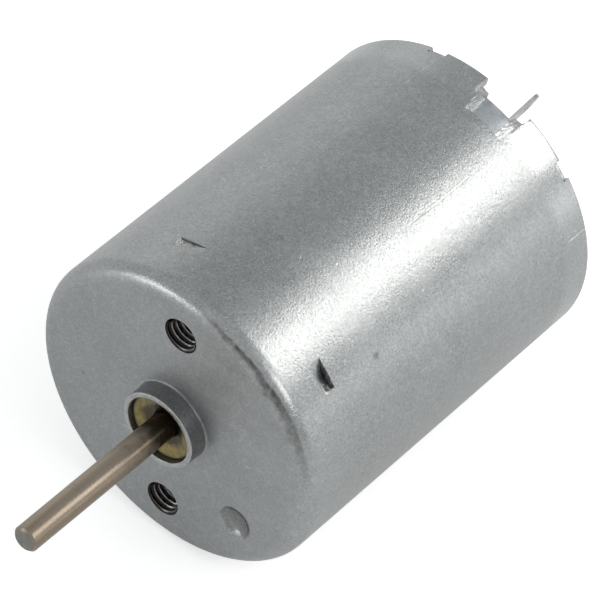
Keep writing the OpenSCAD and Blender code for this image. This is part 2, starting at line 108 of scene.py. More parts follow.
def paint(name, words, value):
    """A colour property in linear red, green and blue."""
    return bpy.props.FloatVectorProperty(
        name=name, description=words, default=value, size=3, min=0.0, max=1.0, subtype="COLOR"
    )


class MotorSizes(bpy.types.PropertyGroup):
    """Sizes of the pieces that are built here."""

    can_radius: length("Can radius", "Outside radius of the can", radius_of("can"))
    can_length: length("Can length", "Front face to rear rim", depths("can")[1])
    can_wall: length("Can wall", "Sheet thickness of the can", 0.9)
    rim_wall: length("Rim wall", "Thickness of the thinned rear rim", 0.7)
    rim_length: length("Rim length", "Length of the thinned rear rim", 3.5)
    corner_radius: length("Corner radius", "Drawn front corner, outside", 1.2)
    boss_radius: length("Boss radius", "Outside radius of the locating boss", 3.075)
    boss_height: length("Boss height", "Front face to the boss rim", -depths("can")[0])
    boss_wall: length("Boss wall", "Sheet thickness of the boss", 0.42)
    screw_pitch: length("Screw pitch", "Distance between the tapped holes", 17.0)
    screw_radius: length("Thread radius", "Outside radius of the threads", 1.3)
    thread_pitch: length("Thread pitch", "Distance from ridge to ridge", 0.45)
    dimple_radius: length("Dimple radius", "Opening of the dimple", 1.3)
    dimple_depth: length("Dimple depth", "Depth of the dimple", 0.42)
    dimple_angle: turn("Dimple angle", "Polar angle of the dimple", -42.1)
    field_angle: turn("Field angle", "Polar angle of the deep notches", 73.7)
    lance_angle: turn("Lance angle", "From the field axis to a lance", 31.0)
    lance_width: length("Lance width", "Width of a lance round the can", 2.3)
    lance_push: length("Lance push", "How far a lance is pushed in", 1.05)
    notch_width: length("Notch width", "Width of a deep notch", 2.6)
    notch_length: length("Notch length", "Length of a deep notch", 3.3)
    stake_width: length("Stake width", "Width of the metal pressed in beside a notch", 0.75)
    tab_angle: turn("Tab angle", "From the field axis to a crimp tab", 30.0)
    tab_width: length("Tab width", "Width of a crimp tab", 1.45)
    tab_depth: length("Tab depth", "Depth of the rim notch over a tab", 0.6)
    shaft_radius: length("Shaft radius", "Output end of the shaft", 1.0)
    journal_radius: length("Journal radius", "Thicker middle of the shaft", 1.175)
    terminal_angle: turn("Terminal angle", "Polar angle of terminal A", 69.2)
    terminal_width: length("Terminal width", "Width of a solder tab", 2.0)
    terminal_sheet: length("Terminal sheet", "Thickness of a solder tab", 0.3)


class MotorColours(bpy.types.PropertyGroup):
    """Base colours of the finishes."""

    zinc: paint("Zinc plate", "Plated steel of the can", (0.418, 0.43, 0.435))
    bare: paint("Bare steel", "Freshly sheared edges", (0.60, 0.60, 0.585))
    cap: paint("Cap steel", "Plated steel of the end cap", (0.50, 0.525, 0.55))
    bronze: paint("Bearing bronze", "Oiled sintered bearings", (0.30, 0.24, 0.09))
    shaft: paint("Shaft steel", "Ground and oiled shaft", (0.37, 0.31, 0.245))
    tin: paint("Tinned brass", "Solder tabs", (0.50, 0.50, 0.485))
    plastic: paint("Base plastic", "Brush base and its posts", (0.62, 0.58, 0.47))
    copper: paint("Enamelled copper", "Windings", (0.45, 0.14, 0.05))
    ferrite: paint("Ferrite", "Magnets", (0.055, 0.055, 0.06))
    floor: paint("Floor", "Stage under the motor", (0.90, 0.90, 0.90))


def size(name):
    """A size in millimetres, or an angle in degrees, from the panel's values."""
    value = getattr(bpy.context.scene.motor_sizes, name)
    return math.degrees(value) if name.endswith("_angle") else value / MM


def colour(name):
    """A base colour from the panel's values."""
    return tuple(getattr(bpy.context.scene.motor_colours, name))


# Surfaces ---------------------------------------------------------------------------------


def polar(r, depth, angle):
    """Points in metres: radius times cosine, depth, and radius times sine of an angle in degrees."""
    t = np.radians(angle)
    r, depth, t = np.broadcast_arrays(r, depth, t)
    return np.stack([r * np.cos(t), depth, r * np.sin(t)], axis=-1) * MM


def grid(rows, cols, wrap_rows=False, wrap_cols=True):
    """Four corner numbers of every cell of a grid of points, which may close on itself."""
    i = np.arange(rows if wrap_rows else rows - 1)[:, None]
    j = np.arange(cols if wrap_cols else cols - 1)[None, :]
    down, right = (i + 1) % rows, (j + 1) % cols
    cells = [i * cols + j, i * cols + right, down * cols + right, down * cols + j]
    return np.stack(np.broadcast_arrays(*cells), axis=-1).reshape(-1, 4)


def split_quads(quads):
    """Cells with two equal neighbouring corners turned into triangles."""
    faces, rest = [], quads
    for i in range(4):
        same = rest[:, i] == rest[:, (i + 1) % 4]
        faces += np.delete(rest[same], i, axis=1).tolist()
        rest = rest[~same]
    return rest.tolist() + faces


def outward(points, faces):
    """Faces turned so that the volume under them, summed from corner to corner, is positive."""
    fans = np.array([f[:3] for f in faces] + [[f[0], f[2], f[3]] for f in faces if len(f) == 4])
    a, b, c = (points[fans[:, k]] for k in range(3))
    if np.einsum("ij,ij->", a, np.cross(b, c)) < 0:
        return [f[::-1] for f in faces]
    return faces


class Sheet:
    """Collects closed surfaces that make one piece."""

    def __init__(self):
        self.points, self.faces, self.marks, self.count = [], [], [], 0

    def add(self, points, faces, mark=0.0):
        """Adds a closed surface. Its mark is 1 where metal is freshly cut and -1 where it is dark."""
        points = np.asarray(points, float).reshape(-1, 3)
        faces = outward(points, faces)
        used = np.unique(np.concatenate([np.ravel(f) for f in faces]))
        number = np.full(len(points), -1)
        number[used] = np.arange(len(used)) + self.count
        self.points.append(points[used])
        self.faces += [number[f].tolist() for f in faces]
        self.marks.append(np.broadcast_to(mark, len(points))[used])
        self.count += len(used)
        return self

    def piece(self, name, body, replaced, slot, sharp=30.0):
        """Makes the mesh, with smooth shading that breaks at edges sharper than an angle."""
        mesh = bpy.data.meshes.new(name)
        mesh.from_pydata(np.concatenate(self.points).tolist(), [], self.faces)
        # the cut attribute holds bare cut metal above zero, and below zero near-black that is partly oily and
        # partly painted shade
        layer = mesh.attributes.new("cut", "FLOAT", "POINT")
        layer.data.foreach_set("value", np.concatenate(self.marks).astype(np.float32))
        mesh.validate()
        mesh.shade_smooth()
        mesh.set_sharp_from_angle(angle=math.radians(sharp))
        mesh.materials.append(finishes()[slot])
        made = bpy.data.objects.new(name, mesh)
        bpy.context.scene.collection.objects.link(made)
        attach(made, body)
        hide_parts(*replaced)


def rounded(corners, radii, steps, closed=True):
    """An outline whose every corner is a smooth curve: start, corner and end points mixed by
    (1-t) squared, 2t(1-t) and t squared, where start and end lie back from the corner."""
    p = np.asarray(corners, float)
    back, ahead = np.roll(p, 1, 0) - p, np.roll(p, -1, 0) - p
    len_back, len_ahead = np.linalg.norm(back, axis=1), np.linalg.norm(ahead, axis=1)
    back, ahead = back / len_back[:, None], ahead / len_ahead[:, None]
    half = np.arccos(np.clip((back * ahead).sum(1), -1, 1)) / 2
    run = np.broadcast_to(np.asarray(radii, float), len(p)) / np.tan(np.maximum(half, 0.01))
    run = np.minimum(run, 0.48 * np.minimum(len_back, len_ahead))
    if not closed:
        run[[0, -1]] = 0
    t = np.linspace(0, 1, steps)[None, :, None]
    start, end = p + back * run[:, None], p + ahead * run[:, None]
    curve = (1 - t) ** 2 * start[:, None] + 2 * t * (1 - t) * p[:, None] + t**2 * end[:, None]
    curve = curve.reshape(-1, 2)
    fresh = np.linalg.norm(curve - np.roll(curve, 1, 0), axis=1) > 1e-6
    fresh[0] = fresh[0] or not closed
    return curve[fresh]


def end_fans(rows, count):
    """Triangles that close both ends of a tube of points round the two points that follow them."""
    j = np.arange(count)
    after, last, middle = (j + 1) % count, (rows - 1) * count, np.full(count, rows * count)
    fans = [np.stack([after, j, middle], 1), np.stack([last + j, last + after, middle + 1], 1)]
    return np.concatenate(fans).tolist()


def lathe(outline, columns):
    """An outline of radius and depth carried round the shaft. An outline whose ends lie on the
    axis closes there in a fan; any other closes on itself."""
    outline = np.asarray(outline, float)
    angle = np.arange(columns) * 360.0 / columns
    solid = outline[0, 0] < 1e-9
    body = outline[1:-1] if solid else outline
    points = polar(body[:, :1], body[:, 1:], angle[None, :]).reshape(-1, 3)
    if not solid:
        return points, grid(len(body), columns, wrap_rows=True).tolist()
    poles = polar(0.0, outline[[0, -1], 1], 0.0)
    return np.concatenate([points, poles]), grid(len(body), columns).tolist() + end_fans(len(body), columns)


def at(points, r, angle):
    """Points round the shaft moved out to a radius and a polar angle."""
    t = math.radians(angle)
    return points + np.array([r * math.cos(t), 0, r * math.sin(t)]) * MM


def slab(outline, low, high, edge, frame_of):
    """A convex outline stacked from low to high, drawn in by an edge radius at both ends, and
    closed by fans. frame_of turns outline coordinates and height into points."""
    outline = np.asarray(outline, float)
    middle = outline.mean(0)
    arc = np.linspace(0, math.pi / 2, 4)
    inset = np.concatenate([edge * (1 - np.sin(arc)), edge * (1 - np.sin(arc[::-1]))])
    level = np.concatenate([low + edge * (1 - np.cos(arc)), high - edge * (1 - np.cos(arc[::-1]))])
    half = np.abs(outline - middle).max(0)
    shrink = 1 - inset[:, None, None] / half[None, None, :]
    flat = middle + (outline - middle)[None] * shrink
    height = np.broadcast_to(level[:, None, None], flat.shape[:2] + (1,))
    rows, count = flat.shape[:2]
    points = frame_of(np.concatenate([flat, height], axis=2).reshape(-1, 3))
    ends = frame_of(np.array([[*middle, low], [*middle, high]]))
    return np.concatenate([points, ends]), grid(rows, count).tolist() + end_fans(rows, count)


def radial_frame(angle):
    """Turns (out along the radius, across it, depth) into points, for one polar angle."""
    t = math.radians(angle)
    axes = np.array([[math.cos(t), 0, math.sin(t)], [-math.sin(t), 0, math.cos(t)], [0, 1, 0]])
    return lambda local: local @ axes * MM


def box_outline(middle, half_long, half_wide, radius):
    """A rectangle with round corners."""
    x0, x1 = middle - half_long, middle + half_long
    return rounded([(x0, -half_wide), (x1, -half_wide), (x1, half_wide), (x0, half_wide)], radius, 4)


# Finishes ---------------------------------------------------------------------------------


class Nodes:
    """Short calls that add and join the nodes of one tree."""

    def __init__(self, tree):
        self.tree = tree

    def node(self, kind, joins=None, **settings):
        """Adds a node, and joins or sets its inputs."""
        made = self.tree.nodes.new(kind)
        for key, value in settings.items():
            setattr(made, key, value)
        for socket, value in (joins or {}).items():
            if isinstance(value, bpy.types.NodeSocket):
                self.tree.links.new(value, made.inputs[socket])
            else:
                made.inputs[socket].default_value = value
        return made

    def levels(self, value, low, high, out_low=0.0, out_high=1.0, smooth=False):
        """Maps low to out_low and high to out_high, straight or smoothly, and nothing beyond them."""
        joins = {0: value, 1: low, 2: high, 3: out_low, 4: out_high}
        kind = "SMOOTHSTEP" if smooth else "LINEAR"
        return self.node("ShaderNodeMapRange", joins, interpolation_type=kind).outputs[0]

    def maths(self, operation, a, b=0.0, c=0.0):
        return self.node("ShaderNodeMath", {0: a, 1: b, 2: c}, operation=operation).outputs[0]

    def times(self, a, b):
        return self.maths("MULTIPLY", a, b)

    def plus(self, a, b):
        return self.maths("ADD", a, b)

    def scaled(self, a, factor, added):
        """a times factor, plus added."""
        return self.maths("MULTIPLY_ADD", a, factor, added)

    def mix(self, factor, a, b):
        """Goes from colour a to colour b."""
        made = self.node("ShaderNodeMix", data_type="RGBA")
        for index, value in ((0, factor), (6, a), (7, b)):
            if isinstance(value, bpy.types.NodeSocket):
                self.tree.links.new(value, made.inputs[index])
            else:
                made.inputs[index].default_value = value if index == 0 else (*value[:3], 1.0)
        return made.outputs[2]


class Finish(Nodes):
    """A procedural material that reads object coordinates. Its tone is the colour so far."""

    def __init__(self, name, metallic=0.0, roughness=0.4, **sockets):
        self.material = bpy.data.materials.new("motor_" + name)
        self.material.use_nodes = True
        super().__init__(self.material.node_tree)
        self.shader = self.tree.nodes["Principled BSDF"]
        for socket, value in {"Metallic": metallic, "Roughness": roughness, **sockets}.items():
            self.shader.inputs[socket.replace("_", " ")].default_value = value
        self.place = self.node("ShaderNodeTexCoord").outputs["Object"]
        self.tone = None

    def stretched(self, scale, turned=(0, 0, 0)):
        """Object coordinates turned and then scaled, so that a pattern runs long one way."""
        rotation = [math.radians(a) for a in turned]
        turn_first = self.node("ShaderNodeMapping", {"Vector": self.place, "Rotation": rotation})
        return self.node("ShaderNodeMapping", {"Vector": turn_first.outputs[0], "Scale": scale}).outputs[0]

    def noise(self, grains_per_metre, detail=3.0, rough=0.55, place=None, twist=0.0):
        """Soft noise from 0 to 1."""
        joins = {
            "Vector": place or self.place, "Scale": grains_per_metre, "Detail": detail,
            "Roughness": rough, "Distortion": twist,
        }
        return self.node("ShaderNodeTexNoise", joins).outputs["Fac"]

    def cells(self, cells_per_metre, output="Distance"):
        """Distance from the middle of the nearest cell, in cell widths."""
        joins = {"Vector": self.place, "Scale": cells_per_metre}
        return self.node("ShaderNodeTexVoronoi", joins).outputs[output]

    def cell_value(self, cells_per_metre, channel):
        """A value of each cell's own, from 0 to 1."""
        return self.node("ShaderNodeSeparateColor", {0: self.cells(cells_per_metre, "Color")}).outputs[channel]

    def axis(self, letter):
        """One object coordinate in metres."""
        return self.node("ShaderNodeSeparateXYZ", {0: self.place}).outputs[letter]

    def radius(self):
        """Distance from the shaft axis in metres."""
        flat = self.node("ShaderNodeVectorMath", {0: self.place, 1: (1, 0, 1)}, operation="MULTIPLY")
        return self.node("ShaderNodeVectorMath", {0: flat.outputs[0]}, operation="LENGTH").outputs["Value"]

    def over(self, share, rgb):
        """Lays a colour over the tone."""
        self.tone = self.mix(share, self.tone, rgb)

    def tint(self, value, low, high, rgb, most=1.0, smooth=False):
        """Lays a colour over the tone where a value goes from low to high, up to a share."""
        self.over(self.levels(value, low, high, 0.0, most, smooth), rgb)

    def bump(self, height, depth, under=None):
        """Bump whose full height is a depth in metres."""
        joins = {"Height": height, "Strength": 1.0, "Distance": depth}
        if under is not None:
            joins["Normal"] = under
        return self.node("ShaderNodeBump", joins).outputs[0]

    def done(self, rough, normal, **sockets):
        """Joins the tone, roughness, normal and any further values to the shader."""
        for socket, value in {"Base Color": self.tone, "Roughness": rough, "Normal": normal, **sockets}.items():
            if value is not None:
                self.tree.links.new(value, self.shader.inputs[socket.replace("_", " ")])
        return self.material


def shade(rgb, factor):
    """A colour made darker or lighter."""
    return tuple(min(1.0, c * factor) for c in rgb[:3])


def corner_dark_band(f):
    """How dark a thin ragged band along the front corner is, on the upper right side only."""
    x, y, z = (f.axis(letter) for letter in "XYZ")
    uneven = f.scaled(f.noise(600, 3.0, 0.6), 0.0003, y)
    wide = f.levels(z, 0.0108, 0.0070, 0.0, 0.00020)
    band = f.levels(uneven, 0.00012, 0.00036, smooth=True)
    band = f.times(band, f.levels(f.maths("SUBTRACT", uneven, wide), 0.00050, 0.00038, smooth=True))
    band = f.times(band, f.levels(x, 0.0010, 0.0034))
    band = f.times(band, f.levels(z, 0.0015, 0.0095))
    return f.times(band, f.levels(f.noise(1500, 4.0, 0.75), 0.34, 0.60, 0.45, 0.95))


def hair_scratches(f):
    """Where fine scratches lie: they run three ways, in patches."""
    scratch = None
    ways = (((0, 20, 0), (1, 0.02, 1)), ((0, 0, 62), (0.025, 1, 1)), ((35, 0, 118), (1, 0.025, 1)))
    for turned, stretch in ways:
        line = f.levels(f.noise(2600, 1.0, 0.3, f.stretched(stretch, turned)), 0.745, 0.765)
        scratch = line if scratch is None else f.maths("MAXIMUM", scratch, line)
    return f.times(scratch, f.levels(f.noise(210, 2.0, 0.5), 0.55, 0.62))


def zinc_plate():
    """Zinc-plated drawn steel: sparkling fine grain, soft clouds, small pits, hair scratches, a thin
    dark band along the front corner, a burnished band at the rear, bright metal where it was cut,
    and near-black, partly oily and partly painted shade, in the threads, lance and notch walls and dimple."""
    base, bare = colour("zinc"), colour("bare")
    f = Finish("can_steel", metallic=1.0)
    clouds, grain, flake = f.noise(130, 3.0, 0.55), f.noise(6200, 2.0, 0.7), f.cell_value(5600, 0)
    f.tone = f.mix(f.levels(clouds, 0.35, 0.65), shade(base, 0.94), shade(base, 1.06))
    f.tint(flake, 0.4, 1.0, shade(base, 1.45), 0.35)
    f.tint(grain, 0.55, 0.30, shade(base, 0.52), 0.5)
    f.tint(f.noise(1250, 3.0, 0.65, twist=0.4), 0.40, 0.62, shade(base, 0.70), 0.22)
    f.tint(f.noise(900, 3.0, 0.6, f.stretched((1, 0.07, 1))), 0.55, 0.75, shade(base, 0.78), 0.15)
    f.tint(f.noise(300, 4.0, 0.65, twist=0.6), 0.60, 0.80, shade(base, 0.66), 0.30)
    pit = f.times(f.levels(f.cells(330), 0.13, 0.05), f.levels(f.cell_value(330, 1), 0.86, 0.88))
    dark_band, scratch = corner_dark_band(f), hair_scratches(f)
    mark = f.node("ShaderNodeAttribute", attribute_name="cut").outputs["Fac"]
    torn = f.noise(2900, 4.0, 0.7, f.stretched((1, 0.3, 1)))
    cut = f.times(f.levels(mark, 0.0, 1.0), f.levels(torn, 0.34, 0.52, 0.1, 1.0))
    # near-black where the mark is below zero: partly oily, partly painted shade in hollows and on walls
    oil_and_shade, y = f.levels(mark, 0.0, -1.0), f.axis("Y")
    smooth_band = f.levels(y, 0.0276, 0.0288, smooth=True)
    burnished = f.times(smooth_band, f.levels(mark, 0.5, 0.0, 0.0, 0.3))
    for share, rgb in (
        (dark_band, DARK_BAND_COLOUR), (f.times(pit, 0.55), shade(base, 0.30)), (f.times(scratch, 0.5), bare),
        (f.times(cut, 0.7), bare), (oil_and_shade, OIL_AND_SHADE), (burnished, shade(base, 1.3)),
    ):
        f.over(share, rgb)
    rough = f.levels(f.plus(f.times(grain, 0.4), f.times(clouds, 0.6)), 0.35, 0.65, 0.27, 0.37)
    rough = f.plus(rough, f.levels(y, 0.00025, 0.0, -0.02, 0.12, smooth=True))
    for part, change in ((smooth_band, -0.05), (dark_band, 0.2), (cut, -0.08), (oil_and_shade, -0.22)):
        rough = f.scaled(part, change, rough)
    height = f.plus(f.times(grain, 0.6), f.times(flake, 0.4))
    for part, left in ((smooth_band, 0.35), (oil_and_shade, 0.2)):
        height = f.times(height, f.levels(part, 0.0, 1.0, 1.0, left))
    normal = f.bump(height, 0.000036)
    normal = f.bump(f.noise(170, 2.0, 0.5), 0.00006, normal)
    normal = f.bump(f.times(cut, torn), 0.00010, normal)
    normal = f.bump(f.maths("MAXIMUM", pit, scratch), -0.00002, normal)
    return f.done(rough, normal)


def plain_metal(name, rgb, roughness, grains=1800, stretch=None, stain=None, amount=0.25):
    """Metal with grain that may run long one way, clouded with darker or tinted stains."""
    f = Finish(name, metallic=1.0)
    grain = f.noise(grains, 3.0, 0.6, f.stretched(stretch) if stretch else f.place)
    clouds = f.noise(340, 3.0, 0.6, twist=0.3)
    f.tone = f.mix(f.levels(grain, 0.3, 0.7), shade(rgb, 0.86), shade(rgb, 1.10))
    f.tint(clouds, 0.45, 0.70, stain or shade(rgb, 0.5), amount)
    rough = f.levels(f.plus(grain, clouds), 0.7, 1.3, roughness * 0.82, roughness * 1.22)
    return f.done(rough, f.bump(grain, 0.000004))


def plain_solid(name, rgb, roughness, grains=1500, depth=0.000006, fleck=None, amount=0.3, **sockets):
    """Moulded, fired or pressed material with fine grain, clouds and small flecks."""
    f = Finish(name, **sockets)
    grain = f.noise(grains, 4.0, 0.65)
    f.tone = f.mix(f.levels(f.noise(220, 2.0, 0.5), 0.35, 0.65), shade(rgb, 0.88), shade(rgb, 1.10))
    f.tint(f.cells(grains * 0.8), 0.28, 0.12, fleck or shade(rgb, 0.55), amount)
    rough = f.levels(grain, 0.3, 0.7, roughness * 0.85, min(1.0, roughness * 1.2))
    return f.done(rough, f.bump(grain, depth))


def oiled_bronze():
    """Sintered bronze: open pores and an olive oily stain; near-black next to the shaft, partly oily and partly
    the painted shadow of the shaft, and a painted gap shade round its outer edge.
    """
    rgb = colour("bronze")
    f = Finish("bronze", metallic=1.0, Coat_Weight=0.35, Coat_Roughness=0.12)
    pores, clouds, radius = f.levels(f.cells(5200), 0.30, 0.12), f.noise(900, 3.0, 0.6, twist=0.5), f.radius()
    f.tone = f.mix(f.levels(clouds, 0.38, 0.62), shade(rgb, 0.55), shade(rgb, 1.15))
    # near-black next to the shaft: partly oily, partly the painted shadow of the shaft
    f.tint(f.scaled(clouds, 0.0009, radius), 0.0024, 0.0019, (0.067, 0.053, 0.028), smooth=True)
    # painted shade of the gap between the bearing's outer edge and the boss
    f.tint(radius, 0.00240, 0.00258, (0.02, 0.017, 0.012), 0.85)
    f.over(f.times(pores, 0.5), shade(rgb, 0.3))
    return f.done(f.levels(clouds, 0.3, 0.7, 0.22, 0.42), f.bump(pores, -0.00001))


def ground_shaft():
    """Ground steel: fine rings round the shaft, a brown oily film drawn out along it, and a near-black stretch
    by the bearing, partly oily and partly a painted reflection of the dark bore.
    """
    f = Finish("shaft_steel", metallic=1.0, Anisotropic=0.75, Anisotropic_Rotation=0.25)
    rings = f.noise(6000, 2.0, 0.5, f.stretched((0.02, 1, 0.02)))
    film = f.noise(1400, 3.0, 0.6, f.stretched((1, 0.05, 1)), twist=0.3)
    blots, y = f.noise(700, 3.0, 0.6), f.axis("Y")
    f.tone = f.mix(f.levels(film, 0.42, 0.66, 0.0, 0.4), colour("shaft"), (0.13, 0.090, 0.050))
    f.tint(blots, 0.58, 0.75, (0.15, 0.112, 0.072), 0.35)
    worn_end = f.levels(y, -0.01480, -0.01487)
    f.over(worn_end, (0.25, 0.25, 0.23))
    # painted reflection of the dark bearing bore, partly oily: near-black over the last millimetres before the
    # bearing
    f.tint(f.scaled(blots, 0.0022, y), -0.0030, -0.0010, (0.033, 0.027, 0.018), 0.95, smooth=True)
    rough = f.scaled(worn_end, 0.2, f.levels(rings, 0.3, 0.7, 0.25, 0.31))
    around = f.node("ShaderNodeTangent", direction_type="RADIAL", axis="Y").outputs[0]
    return f.done(rough, f.bump(rings, 0.0000001), Tangent=around)


def wound_wire():
    """Enamelled copper turns: fine ridges that follow each other outwards from the shaft, with painted shade in
    the grooves between them and lighter crests.
    """
    rgb, turn_pitch = colour("copper"), 0.00026
    f = Finish("copper_wire", metallic=0.85, Coat_Weight=0.8, Coat_Roughness=0.15, Coat_IOR=1.55)
    turns = f.maths("SINE", f.times(f.radius(), 2 * math.pi / turn_pitch))
    drift = f.noise(500, 3.0, 0.6)
    # painted shade in the grooves between turns and lighter crests, following the same sine as the bump
    f.tone = f.mix(f.levels(turns, -1.0, 0.6), shade(rgb, 0.30), shade(rgb, 1.15))
    f.tint(drift, 0.4, 0.7, shade(rgb, 0.6), 0.4)
    return f.done(f.levels(drift, 0.3, 0.7, 0.24, 0.38), f.bump(turns, 0.00005))


def finishes():
    """Every finish by its slot name, made once."""
    if MADE:
        return MADE
    for finish in (
        zinc_plate(), oiled_bronze(), ground_shaft(), wound_wire(),
        plain_metal("cap_steel", colour("cap"), 0.30, 1900, amount=0.35),
        plain_metal("tinned_brass", colour("tin"), 0.20, 2600, (1, 0.1, 1), stain=(0.29, 0.28, 0.24)),
        plain_metal("arm_bronze", (0.48, 0.30, 0.15), 0.26, 2400, (0.15, 1, 0.15)),
        plain_metal("spring_steel", (0.36, 0.37, 0.39), 0.28, 2400, (1, 0.08, 1)),
        plain_metal("spacer_brass", (0.55, 0.42, 0.19), 0.25, 3000, (0.1, 1, 0.1)),
        plain_metal("core_steel", (0.27, 0.28, 0.30), 0.42, 1700, stain=(0.20, 0.12, 0.07)),
        plain_metal("bar_copper", (0.60, 0.30, 0.17), 0.22, 4000, (0.08, 1, 0.08), stain=(0.3, 0.14, 0.08)),
        plain_solid("ferrite", colour("ferrite"), 0.62, 2200, 0.00001, (0.12, 0.12, 0.125), 0.25),
        plain_solid(
            "base_plastic", colour("plastic"), 0.42, 1500, 0.000005,
            Subsurface_Weight=0.06, Subsurface_Scale=0.0006,
        ),
        plain_solid("carbon", (0.035, 0.034, 0.034), 0.45, 3000, 0.000008, (0.12, 0.08, 0.05), 0.35),
        plain_solid("washer_plastic", (0.75, 0.72, 0.62), 0.35, 1800),
        plain_solid("core_insulation", (0.030, 0.105, 0.055), 0.50, 1600, 0.00001, (0.06, 0.17, 0.10), 0.4),
        plain_solid("phenolic", (0.085, 0.038, 0.018), 0.32, 1900),
        plain_solid("binding_fibre", (0.30, 0.20, 0.10), 0.60, 3200, 0.00001),
        plain_solid("varistor_ceramic", (0.06, 0.06, 0.075), 0.50, 2400, 0.000008, (0.18, 0.18, 0.20), 0.3),
    ):
        MADE[finish.name.removeprefix("motor_")] = finish
    return MADE


# The can ----------------------------------------------------------------------------------


def can_rows():
    """Rows of the can from the rim of the boss to the rear rim, as (radius, depth) for the outside
    and the inside of the sheet. Both lists share their first and their last row."""
    can_r, end = size("can_radius"), size("can_length")
    wall, rim_in = size("can_wall"), can_r - size("rim_wall")
    bore, corner = can_r - wall, size("corner_radius")
    boss, top = size("boss_radius"), -size("boss_height")
    seat, tip = boss - size("boss_wall"), 0.14
    inner_corner = corner - wall / 2
    bend = np.radians(np.linspace(-90, 0, 13))
    # rows lie close together over the dimple, the tapped holes, the lances and the stakes
    face = np.concatenate([
        np.linspace(boss + 0.3, 6.9, 8), np.arange(7.03, 9.99, 0.115),
        np.linspace(10.1, can_r - corner - 0.1, 4),
    ])
    s_step = end - size("rim_length")
    s = np.concatenate([
        np.linspace(corner + 0.15, 3.3, 5), [3.45], np.linspace(3.6, 4.6, 11), [4.62, 4.8, 5.2],
        np.linspace(6, s_step - 0.4, 12), [s_step - 0.02, s_step + 0.02, end - size("notch_length"), 27.9],
        [28.28, 28.34, 28.9, 29.5, 29.85, 30.0, 30.1, 30.2, 30.3, 30.42, 30.55, end - 0.12],
    ])
    lip = (boss + seat) / 2
    mouth = rounded([(lip, top), (boss, top), (boss, 0), (face[0], 0)], [0, tip, 0.15, 0], 5, False)
    # inside rows meet outside rows one to one: the seat has as many as the boss and its fillet
    seat_rows = rounded([(lip, top), (seat, top), (seat, wall)], [0, tip, 0], 5, False)
    spare = len(mouth) - 1 - len(seat_rows)
    straight = np.column_stack([np.full(spare + 1, seat), np.linspace(0, wall, spare + 1)])
    seat_rows = np.concatenate([seat_rows[:-1], straight])
    outside = [
        mouth[:-1], np.column_stack([face, 0 * face]),
        np.column_stack([can_r - corner + corner * np.cos(bend), corner + corner * np.sin(bend)]),
        np.column_stack([np.full(len(s), can_r), s]),
        [[can_r - 0.02, end - 0.05], [can_r - 0.07, end - 0.01], [(can_r + rim_in) / 2, end]],
    ]
    s_in = np.where(s < 3.3, np.interp(s, [corner, 3.3], [corner + wall / 2, 3.3]), s)
    face_in = np.where(face > 10.0, 10.0 + (face - 10.0) * 0.5, face)
    inside = [
        seat_rows, np.column_stack([face_in, 0 * face + wall]),
        np.column_stack([bore - inner_corner * (1 - np.cos(bend)), wall + inner_corner * (1 + np.sin(bend))]),
        np.column_stack([np.where(s < s_step, bore, rim_in), s_in]),
        [[rim_in + 0.02, end - 0.05], [rim_in + 0.07, end - 0.01], [(can_r + rim_in) / 2, end]],
    ]
    return np.concatenate(outside), np.concatenate(inside)


def feature_angles():
    """Polar angles in degrees of the lances, deep notches and crimp tabs."""
    field = size("field_angle")
    lances = [field + p + s * size("lance_angle") for p in POLES for s in SIDES]
    tabs = [field + p + s * size("tab_angle") for p in POLES for s in SIDES]
    return lances, [field + p for p in POLES], tabs


def away(angle, centre):
    """Signed angle from a centre, in degrees between -180 and 180."""
    return (angle - centre + 180.0) % 360.0 - 180.0


def spread(width):
    """Half of a width round the can, as an angle in degrees."""
    return math.degrees(math.asin(width / 2 / size("can_radius")))


def half_widths():
    """Half widths of a lance, a deep notch, a crimp tab, and a notch with both its stakes, in degrees."""
    lance, notch, tab = (spread(size(f"{name}_width")) for name in ("lance", "notch", "tab"))
    return lance, notch, tab, spread(size("notch_width") + 2 * size("stake_width"))


def can_columns():
    """Polar angles of the columns: 1.25 degrees apart, half a degree apart over the tapped holes,
    and extra lines along every cut."""
    lances, notches, tabs = feature_angles()
    lance, notch, tab, stake = half_widths()
    cuts = (
        (lances, (lance - 0.3, lance, lance + 0.35)),
        (notches, (notch, notch + 0.25, stake - 0.3, stake, stake + 0.2)),
        (tabs, (tab, tab + 0.25)),
    )
    lines = np.array([c + s * a for centres, offsets in cuts for c in centres for s in SIDES for a in offsets])
    lines = lines % 360.0
    coarse = np.arange(0, 360, 1.25)
    coarse = coarse[np.abs(away(coarse, 90.0) % 180.0 - 90.0) < 81.0]
    fine = np.concatenate([coarse, np.arange(81, 99.1, 0.5), np.arange(261, 279.1, 0.5)])
    gap = np.abs(away(fine[:, None], lines[None, :])).min(1)
    return np.sort(np.concatenate([fine[gap > 0.16], lines]))


def shell(outside, inside, keep):
    """Faces of a sheet with openings: outside cells, inside cells turned round, and a wall along
    every edge between a kept cell and an opening."""
    o, i = outside, inside
    next_o, next_i = np.roll(o, -1, 1), np.roll(i, -1, 1)
    before = np.roll(keep, 1, 1)
    parts = (
        ((o[:-1], next_o[:-1], next_o[1:], o[1:]), keep),
        ((i[:-1], i[1:], next_i[1:], next_i[:-1]), keep),
        ((o[1:-1], next_o[1:-1], next_i[1:-1], i[1:-1]), keep[:-1] & ~keep[1:]),
        ((next_o[1:-1], o[1:-1], i[1:-1], next_i[1:-1]), ~keep[:-1] & keep[1:]),
        ((o[1:], o[:-1], i[:-1], i[1:]), before & ~keep),
        ((o[:-1], o[1:], i[1:], i[:-1]), ~before & keep),
    )
    quads = [np.stack([corner[where] for corner in corners], -1) for corners, where in parts]
    return split_quads(np.concatenate(quads))


